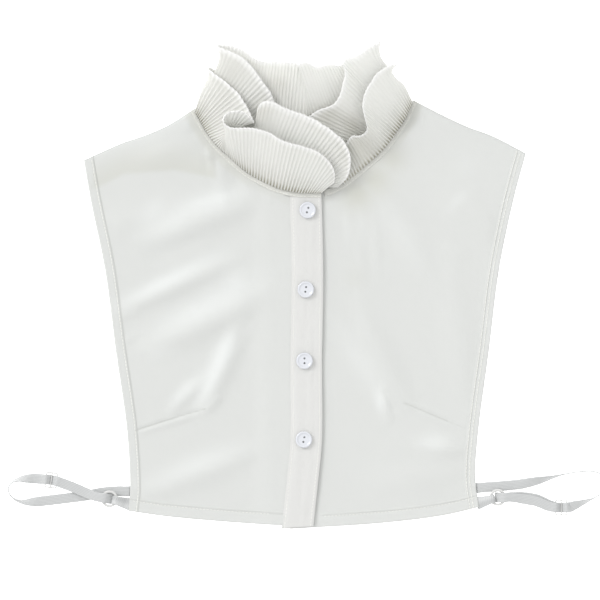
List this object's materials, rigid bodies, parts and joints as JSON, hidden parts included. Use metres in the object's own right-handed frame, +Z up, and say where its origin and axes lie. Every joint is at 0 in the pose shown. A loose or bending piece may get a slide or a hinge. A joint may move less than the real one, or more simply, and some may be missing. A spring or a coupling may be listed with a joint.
{
  "type": "detachable shirt collar with front and back panels",
  "caption": "Sleeveless false shirt front with a pleated two-tier ruffle collar, button placket and adjustable elastic side straps, laid flat.",
  "frame": {"origin": "centre of the bounding box, at the flat underside that lies on the surface", "axes": "+X to the viewer's right across the straps, +Y from the hem towards the collar, +Z up from the surface it lies on"},
  "size_m": [0.4795, 0.3903, 0.0336],
  "materials": {
    "chiffon": "soft matt",
    "placket_cloth": "soft matt",
    "pleated_voile": "soft matt, heat-set pleats",
    "elastic": "matt webbing",
    "button_plastic": "polished",
    "fitting_plastic": "smooth"
  },
  "bodies": {
    "root": {"back_panel": "chiffon", "front_left": "chiffon", "front_right": "chiffon", "placket": "placket_cloth", "neck_band_left": "chiffon", "neck_band_right": "chiffon", "ruffle_outer": "pleated_voile", "ruffle_inner": "pleated_voile", "button_1": "button_plastic", "button_2": "button_plastic", "button_3": "button_plastic", "button_4": "button_plastic", "strap_left": "elastic", "strap_right": "elastic", "strap_tab_left": "elastic", "strap_tab_right": "elastic", "ring_left": "fitting_plastic", "ring_right": "fitting_plastic", "slider_left": "fitting_plastic", "slider_right": "fitting_plastic"}
  },
  "joints": []
}
